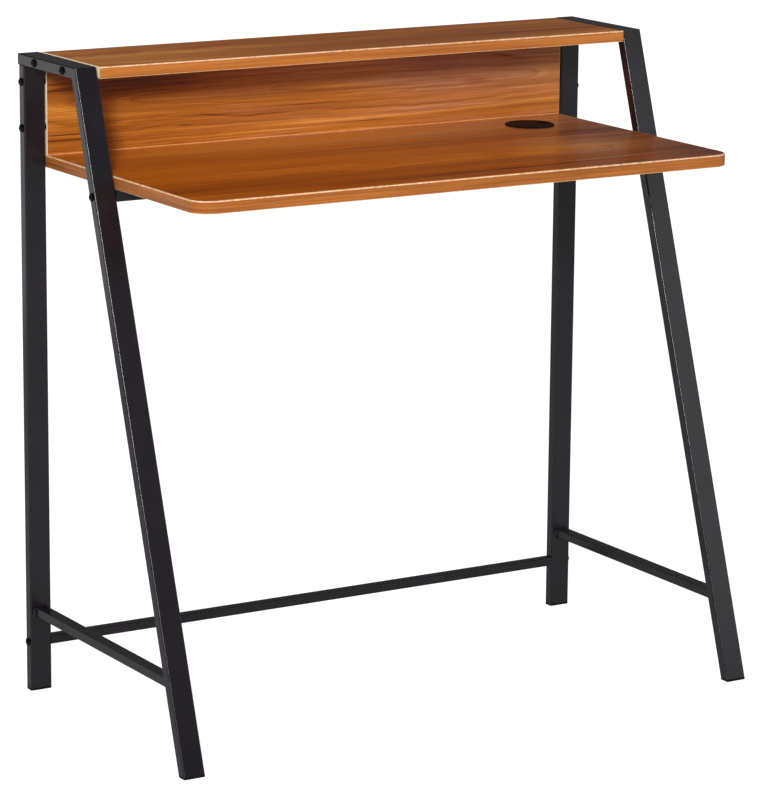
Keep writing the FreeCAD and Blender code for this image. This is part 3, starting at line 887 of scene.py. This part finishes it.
@dataclass
class Boards(Assembly):
    """The tabletop, the back panel and the shelf, with their edge bands."""

    arris: float = 1.6 * MM
    low_arris: float = 0.9 * MM
    corner_radius: float = 28 * MM
    corner_steps: int = 14
    arris_steps: int = 4
    lip: Point = (0.5 * MM, 1.3 * MM)
    end_arris: float = 0.5 * MM
    sharp_degrees: float = 20.0

    def build(self) -> None:
        """Builds and dresses the boards."""
        self.dress(("tabletop",), self.palette.top_print)
        self.tabletop_band()
        self.upright("back_panel", "back_panel_board", self.palette.panel_print)
        self.upright("top_shelf", "top_shelf_board", self.palette.shelf_print)
        for node in ("shelf_front_band", "shelf_rear_band"):
            self.shelf_band(node)

    def outline(self, inset: float) -> list[Point]:
        """The tabletop's outline drawn in by inset, round at the two front corners.

        Args:
            inset: How far inside the edge.

        Returns:
            Points anticlockwise from the rear left corner, as many for every inset.
        """
        low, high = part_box("tabletop_edge_band")
        radius = self.corner_radius - inset
        left, right = low.x + inset, high.x - inset
        front, rear = low.y + inset, high.y - inset
        points = [(left, rear)]
        points += arc((left + radius, front + radius), radius, 180, 270, self.corner_steps)
        points += arc((right - radius, front + radius), radius, 270, 360, self.corner_steps)
        points.append((right, rear))
        return points

    def band_section(self, thickness: float, height: float) -> Section:
        """Section of an edge band: how far in, how high, and the slot of the face that follows.

        Args:
            thickness: The band's thickness.
            height: The board's thickness.

        Returns:
            Points from the lower inner edge round the outside to the upper inner edge.
        """
        a, b = self.arris, self.low_arris
        low = arc((b, b), b, 270, 180, self.arris_steps)
        high = arc((a, height - a), a, 180, 90, self.arris_steps)
        points = [(thickness, 0.0), *low, *high, (thickness, height)]
        flat = (len(low), len(points) - 1)  # where the outer face and the glued one start
        skins = [BandSkin.PRINT if i in flat else BandSkin.TRIMMED for i in range(len(points))]
        return [(inset, up, skin) for (inset, up), skin in zip(points, skins)]

    def tabletop_band(self) -> None:
        """Band round the tabletop, its arrises rounded and pale."""
        low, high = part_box("tabletop_edge_band")
        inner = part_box("tabletop")[0]
        section = self.band_section(inner.x - low.x, high.z - low.z)
        outlines = [self.outline(inset) for inset, _, _ in section]
        rings = [
            [Vector((x, y, low.z + up)) for (x, y), (_, up, _) in zip(points, section)]
            for points in zip(*outlines)
        ]
        mesh = bmesh.new()
        skin_rings(mesh, rings, [skin for _, _, skin in section], closed_along=True)
        piece = finish_mesh("tabletop_band", mesh, (self.palette.band, self.palette.trim))
        place(piece, "desk", ("tabletop_edge_band",), "walnut_band")

    def shelf_band(self, node: str) -> None:
        """Band on a long edge of the shelf, its arrises rounded and pale.

        Args:
            node: The CAD node that it stands for.
        """
        low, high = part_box(node)
        outer, inward = (low.y, 1) if "front" in node else (high.y, -1)
        section = self.band_section(high.y - low.y, high.z - low.z)
        rings = [
            [Vector((x, outer + inward * inset, low.z + up)) for inset, up, _ in section]
            for x in (low.x, high.x)
        ]
        mesh = bmesh.new()
        skin_rings(mesh, rings, [skin for _, _, skin in section], ends=BandSkin.TRIMMED)
        piece = finish_mesh(node + "_trimmed", mesh, (self.palette.shelf_band, self.palette.trim))
        place(piece, "desk", (node,), "walnut_band")

    def upright(self, node: str, name: str, film: Material) -> None:
        """A board with film on its faces, raw sawn ends and a pale lip along the panel's foot.

        Args:
            node: The CAD node that it stands for.
            name: Name of the piece.
            film: Its printed film.
        """
        low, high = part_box(node)
        middle = (low + high) / 2
        back, up = self.lip if node == "back_panel" else (0.0, 0.0)
        section = [(low.y + back, low.z), (high.y, low.z), (high.y, high.z), (low.y, high.z)]
        slots = [BoardSkin.FILM] * len(section)
        if back:
            section.append((low.y, low.z + up))
            edge = BoardSkin.RAW
            slots = [edge, BoardSkin.REVERSE, edge, BoardSkin.FILM, BoardSkin.LIP]
        stations = (
            (low.x, self.end_arris),
            (low.x + self.end_arris, 0.0),
            (high.x - self.end_arris, 0.0),
            (high.x, self.end_arris),
        )
        rings = []
        for x, drawn_in in stations:
            ring = []
            for y, z in section:
                y += math.copysign(drawn_in, middle.y - y)
                z += math.copysign(drawn_in, middle.z - z)
                ring.append(Vector((x, y, z)))
            rings.append(ring)
        mesh = bmesh.new()
        skin_rings(mesh, rings, slots, ends=BoardSkin.RAW)
        for face in mesh.faces:
            if abs(face.calc_center_median().x) > high.x - self.end_arris:
                face.material_index = BoardSkin.RAW
        skins = (film, self.palette.lip, self.palette.raw, self.palette.reverse_print)
        piece = finish_mesh(name, mesh, skins, self.sharp_degrees)
        place(piece, "desk", (node,), "walnut_board")


@dataclass
class Fasteners(Assembly):
    """Bolts, inserts, screws and dowels."""

    head_radius: float = 5.4 * MM
    head_height: float = 2.9 * MM
    single_span: float = 13.5 * MM  # a node's box narrower than this holds one head
    rim_height: float = 0.7 * MM
    rim_edge: float = 0.2 * MM
    dome_steps: int = 8
    mouth_radius: float = 2.48 * MM
    mouth_drop: float = 0.15 * MM
    socket_flats: float = 4.0 * MM
    socket_depth: float = 1.8 * MM
    shank_radius: float = 3.0 * MM
    shank_length: float = 45.0 * MM
    tip_radius: float = 2.25 * MM
    steps: int = 48
    sharp_degrees: float = 30.0
    screw_edge: float = 0.3 * MM
    dowel_edge: float = 0.6 * MM

    def build(self) -> None:
        """Builds the bolts and dresses the other fasteners."""
        for kind in ("shelf", "panel", "stretcher", "front_rail"):
            self.bolts(kind + "_bolts")
        self.dress(("shelf_inserts", "panel_inserts"), self.palette.cast)
        screws = ("tabletop_screws", "panel_connector_screws")
        self.dress(screws, self.palette.zinc, self.screw_edge)
        self.dress(("shelf_dowels",), self.palette.beech, self.dowel_edge)

    def axes(self, low: float, high: float) -> list[float]:
        """Middles of the heads between two limits: one head, or one at each limit."""
        if high - low < self.single_span:
            return [(low + high) / 2]
        return [low + self.head_radius, high - self.head_radius]

    def bolts(self, node: str) -> None:
        """Button-head socket bolts in place of those of one CAD node.

        Args:
            node: The CAD node.
        """
        low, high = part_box(node)
        mesh = bmesh.new()
        for side in Side:
            seat = side.value * (high.x - self.head_height)
            for y in self.axes(low.y, high.y):
                for z in self.axes(low.z, high.z):
                    self.bolt(mesh, Vector((seat, y, z)), Vector((side.value, 0, 0)))
        piece = finish_mesh(node + "_button_head", mesh, (self.palette.bolt,), self.sharp_degrees)
        place(piece, "desk", (node,), "black_bolt")

    def bolt(self, mesh: Mesh, seat: Vector, out: Vector) -> None:
        """Adds one bolt: shank, rim, domed head and hexagon socket.

        Args:
            mesh: The bmesh that gets it.
            seat: Middle of the face under its head.
            out: Direction from the tube to the head's top.
        """
        shank, tip, foot, top = self.shank_radius, self.tip_radius, -self.shank_length, self.head_height
        profile = [
            (tip, foot),
            (shank, foot + shank - tip),
            (shank, 0.0),
            (self.head_radius - self.rim_edge, 0.0),
            (self.head_radius, self.rim_edge),
        ]
        for i in range(self.dome_steps + 1):
            turn = math.pi / 2 * i / self.dome_steps
            radius = self.mouth_radius + (self.head_radius - self.mouth_radius) * math.cos(turn)
            profile.append((radius, self.rim_height + (top - self.rim_height) * math.sin(turn)))
        turns = [2 * math.pi * i / self.steps for i in range(self.steps)]
        sector = math.pi / 3
        flat = self.socket_flats / 2
        hexagon = [flat / math.cos((t + sector / 2) % sector - sector / 2) for t in turns]
        radii = [([radius] * self.steps, height) for radius, height in profile]
        radii += [(hexagon, top - self.mouth_drop), (hexagon, top - self.socket_depth)]
        rings = []
        for round_radii, height in radii:
            centre = seat + out * height
            ways = [Vector((0, math.cos(t) * r, math.sin(t) * r)) for t, r in zip(turns, round_radii)]
            rings.append([centre + way for way in ways])
        skin_rings(mesh, rings, ends=0)


@dataclass
class CableGrommet(Assembly):
    """The cable hole's flanged liner and its turning cap, both moulded."""

    flange_radius: float = 34.0 * MM
    flange_height: float = 2.0 * MM
    sleeve_radius: float = 29.75 * MM
    bore_radius: float = 28.25 * MM
    ledge_radius: float = 25.85 * MM
    ledge_thickness: float = 1.6 * MM
    cap_radius: float = 27.9 * MM
    cap_thickness: float = 2.0 * MM
    skirt_radius: float = 25.5 * MM
    skirt_wall: float = 1.4 * MM
    notch_width: float = 18.0 * MM
    notch_reach: float = 13.0 * MM
    bore_edge: float = 0.3 * MM
    bore_edge_steps: int = 3
    rim_steps: int = 6
    rim_low_edge: float = 0.15 * MM
    cap_edge: float = 0.5 * MM
    cap_edge_steps: int = 4
    cap_low_edge: float = 0.25 * MM
    steps: int = 96

    def build(self) -> None:
        """Builds the liner and the cap."""
        self.liner()
        self.cap()

    def liner(self) -> None:
        """Liner with a rounded flange and the ledge under the cap."""
        low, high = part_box("grommet_liner")
        centre = (low + high) / 2
        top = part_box("tabletop")[1].z
        foot = low.z - top
        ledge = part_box("grommet_cap")[1].z - self.cap_thickness - top
        under = ledge - self.ledge_thickness
        bore, flange, sleeve = self.bore_radius, self.flange_radius, self.sleeve_radius
        height, rim = self.flange_height, self.flange_height / 2
        eased, low_edge = self.bore_edge, self.rim_low_edge
        profile = [
            (bore, ledge),
            *arc((bore + eased, height - eased), eased, 180, 90, self.bore_edge_steps),
            *arc((flange - rim, height - rim), rim, 90, 0, self.rim_steps),
            (flange, low_edge),
            (flange - low_edge, 0.0),
            (sleeve, 0.0),
            (sleeve, foot + eased),
            (sleeve - eased, foot),
            (bore, foot),
            (bore, under),
            (self.ledge_radius, under),
            (self.ledge_radius, ledge),
            (bore, ledge),
        ]
        turns = [2 * math.pi * i / self.steps for i in range(self.steps)]
        ways = [Vector((math.cos(t), math.sin(t), 0.0)) for t in turns]
        rings = []
        for radius, height in profile:
            level = Vector((centre.x, centre.y, top + height))
            rings.append([level + way * radius for way in ways])
        mesh = bmesh.new()
        skin_rings(mesh, rings)
        bmesh.ops.remove_doubles(mesh, verts=mesh.verts, dist=SAME_POINT)
        piece = finish_mesh("cable_hole_liner", mesh, (self.palette.plastic,))
        place(piece, "desk", ("grommet_liner",), "black_plastic")

    def cap_outline(self, inset: float) -> list[Point]:
        """The cap's outline with its notch, drawn in by inset.

        Args:
            inset: How far inside the edge.

        Returns:
            Points anticlockwise from the notch's far lip, as many for every inset.
        """
        radius = self.cap_radius - inset
        half = self.notch_width / 2 + inset
        throat = self.cap_radius - self.notch_reach + self.notch_width / 2
        lip = math.degrees(math.asin(half / radius))
        points = arc((0.0, 0.0), radius, lip, 360 - lip, self.steps)
        return points + arc((throat, 0.0), half, 270, 90, self.steps // 4)

    def cap(self) -> None:
        """Cap with eased rims, and the skirt that centres it in the liner."""
        low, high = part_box("grommet_cap")
        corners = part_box("grommet_liner")
        middle = (corners[0] + corners[1]) / 2
        under = high.z - self.cap_thickness
        eased, low_edge = self.cap_edge, self.cap_low_edge
        levels = [(low_edge, under), (0.0, under + low_edge)]
        rounded = arc((eased, 0.0), eased, 180, 90, self.cap_edge_steps)
        levels += [(inset, high.z - eased + up) for inset, up in rounded]
        rings = [
            [Vector((middle.x + x, middle.y + y, z)) for x, y in self.cap_outline(inset)]
            for inset, z in levels
        ]
        mesh = bmesh.new()
        skin_rings(mesh, rings, ends=0)
        self.skirt(mesh, middle, low.z, under)
        piece = finish_mesh("cable_hole_cap", mesh, (self.palette.plastic,))
        place(piece, "cable_cap", ("grommet_cap",), "black_plastic")

    def skirt(self, mesh: Mesh, middle: Vector, foot: float, under: float) -> None:
        """Adds the cap's skirt, open at the notch.

        Args:
            mesh: The bmesh that gets it.
            middle: Middle of the cable hole.
            foot: Height of the skirt's lower edge.
            under: Height of the cap's underside.
        """
        outer, inner = self.skirt_radius, self.skirt_radius - self.skirt_wall
        outline: list[Point] = []
        for radius, turn in ((outer, 1), (inner, -1)):
            lip = math.degrees(math.asin(self.notch_width / 2 / radius))
            points = arc((0.0, 0.0), radius, lip, 360 - lip, self.steps)
            outline += points[::turn]
        rings = [
            [Vector((middle.x + x, middle.y + y, z)) for x, y in outline] for z in (foot, under)
        ]
        skin_rings(mesh, rings, ends=0)


# Studio


@dataclass
class Lamp:
    """A soft area lamp that looks at a point of the desk."""

    name: str
    place: Spot
    target: Spot
    size: Point  # width and height
    power: float  # in watts
    in_gloss: bool = True  # whether gloss shows its mirror image
    in_diffuse: bool = True
    receivers: Sequence[bpy.types.Object] = ()  # what it reaches, or everything where empty

    def build(self) -> None:
        """Adds the lamp."""
        light = bpy.data.lights.new(self.name, "AREA")
        light.shape = "RECTANGLE"
        light.size, light.size_y = self.size
        light.energy = self.power
        lamp = bpy.data.objects.new(self.name, light)
        lamp.location = self.place
        way = Vector(self.target) - lamp.location
        lamp.rotation_mode = "QUATERNION"
        lamp.rotation_quaternion = way.to_track_quat("-Z", "Y")
        lamp.visible_camera = False
        lamp.visible_diffuse = self.in_diffuse
        lamp.visible_glossy = self.in_gloss
        if self.receivers:
            reached = bpy.data.collections.new(self.name + "_receivers")
            for receiver in self.receivers:
                reached.objects.link(receiver)
            lamp.light_linking.receiver_collection = reached
        bpy.context.scene.collection.objects.link(lamp)


@dataclass
class Studio:
    """White floor and background, soft lamps, and the camera at the photograph's angle."""

    camera_place: Spot = (-2.4967, -4.0740, 1.4741)
    yaw: float = 31.393
    pitch: float = -12.768
    roll: float = 0.509
    lens: float = 167.50
    sight: float = 100.0  # how far the camera sees
    key_place: Spot = (-2.906, -3.857, 2.4)
    key_target: Spot = (0.0, 0.0, 0.6)
    key_size: Point = (0.5, 0.95)
    key_power: float = 222.0
    ambient: float = 0.3
    room_in_gloss: float = 0.1  # the photograph's studio was dark beside its backdrop
    floor_half: float = 30.0
    floor_colour: str = "#b4b4b4"
    floor_roughness: float = 0.9
    floor_white: Point = (0.88, 1.0)  # its own white near the desk and far from it
    floor_reach: Point = (1.5, 5.0)  # how far off near ends and far begins

    def build(self, frame: Frame) -> None:
        """Builds floor, world, lamps and camera.
        """
        self.floor()
        self.world()
        legs = [frame["nodes"][f"{s.word}_{end}_leg"] for s in Side for end in ("front", "rear")]
        for lamp in self.lamps(legs):
            lamp.build()
        self.camera()
        bpy.context.scene.view_settings.view_transform = "Standard"

    def lamps(self, legs: Sequence[bpy.types.Object]) -> tuple[Lamp, ...]:
        """The lamps round the desk.

        From behind, the mirror images of the key and of the shelf's fill would burn level steel
        faces white. So only the legs show the key's, and nothing shows the fill's.

        Args:
            legs: The four legs.

        Returns:
            The lamps: the key, and the same lamp as the legs mirror it, then the softer ones.
        """
        key = (self.key_place, self.key_target, self.key_size, self.key_power)
        return (
            Lamp("key_lamp", *key, in_gloss=False),
            Lamp("key_in_legs", *key, in_diffuse=False, receivers=legs),
            Lamp("front_card", (1.95, -2.44, 1.35), (0.43, -0.05, 0.4), (1.0, 1.5), 5.8),
            Lamp("shelf_fill", (1.74, -0.72, 0.72), (0.25, 0.2, 0.78), (0.6, 0.5), 5.5, in_gloss=False),
            Lamp("side_card", (-1.25, 1.3, 0.64), (-0.43, 0.05, 0.64), (1.3, 0.8), 2.0),
            Lamp("top_box", (0.0, -0.4, 3.5), (0.0, 0.0, 0.8), (2.0, 1.5), 7.0),
        )

    def floor(self) -> None:
        """Plain pale floor, so white to the camera that the desk's shadow doesn't show on it."""
        mesh = bmesh.new()
        bmesh.ops.create_grid(mesh, x_segments=1, y_segments=1, size=self.floor_half)
        material = blank_material("studio_floor_pale")
        tree = material.node_tree
        place = add(tree, "TexCoord").outputs["Object"]
        away = add(tree, "VectorMath", (place,), operation="LENGTH").outputs["Value"]
        (near, far), (dim, bright) = self.floor_reach, self.floor_white
        glow = add(tree, "MapRange", {0: away, 1: near, 2: far, 3: dim, 4: bright})
        seen = add(tree, "Math", (self.white(tree, 0.0), glow), operation="MULTIPLY")
        inputs = {
            "Base Color": linear(self.floor_colour),
            "Roughness": self.floor_roughness,
            "Specular IOR Level": 0.0,
            "Emission Color": WHITE,
            "Emission Strength": seen,
        }
        add(tree, "OutputMaterial", (add(tree, "BsdfPrincipled", inputs),))
        finish_mesh("studio_floor", mesh, (material,))

    def white(self, tree: Tree, dim: float) -> Node:
        """Strength of the white background for each kind of ray.

        The camera gets all of it, also through a clear material. Gloss gets room_in_gloss, because
        the photograph's tubes and films mirror a dark studio and not the white behind the desk.

        Args:
            tree: Node tree of the floor or the world.
            dim: Strength for all other rays.

        Returns:
            The node that gives the strength.
        """
        path = add(tree, "LightPath").outputs
        rays = (path["Is Camera Ray"], path["Is Transmission Ray"])
        clear = add(tree, "Math", rays, operation="MAXIMUM")
        inputs = (path["Is Glossy Ray"], self.room_in_gloss - dim, dim)
        gloss = add(tree, "Math", inputs, operation="MULTIPLY_ADD")
        return add(tree, "Math", (clear, gloss), operation="MAXIMUM")

    def world(self) -> None:
        """White to the camera, a grey room that lights the desk, and a darker one for gloss."""
        world = bpy.data.worlds.new("studio")
        bpy.context.scene.world = world
        world.use_nodes = True
        tree = world.node_tree
        tree.nodes.clear()
        inputs = {"Color": WHITE, "Strength": self.white(tree, self.ambient)}
        add(tree, "OutputWorld", (add(tree, "Background", inputs),))

    def camera(self) -> None:
        """Camera at the photograph's place."""
        yaw, pitch, roll = (math.radians(v) for v in (self.yaw, self.pitch, self.roll))
        ahead = Vector((
            math.sin(yaw) * math.cos(pitch), math.cos(yaw) * math.cos(pitch), math.sin(pitch),
        ))
        level = Vector((math.cos(yaw), -math.sin(yaw), 0.0))
        upward = level.cross(ahead)
        right = level * math.cos(roll) + upward * math.sin(roll)
        up = upward * math.cos(roll) - level * math.sin(roll)
        data = bpy.data.cameras.new("camera")
        data.lens = self.lens
        data.clip_end = self.sight
        camera = bpy.data.objects.new("camera", data)
        turned = Matrix((right, up, -ahead)).transposed().to_4x4()
        camera.matrix_world = Matrix.Translation(self.camera_place) @ turned
        bpy.context.scene.collection.objects.link(camera)
        bpy.context.scene.camera = camera


def main() -> None:
    """Builds the desk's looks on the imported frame."""
    logging.basicConfig(level=logging.INFO, format="%(name)s: %(message)s")
    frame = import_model()
    Studio().build(frame)
    palette = Palette()
    for side in Side:
        EndFrame(frame, palette, side).build()
    for kind in (CrossTubes, Boards, Fasteners, CableGrommet):
        kind(frame, palette).build()


if __name__ == "__main__":
    main()
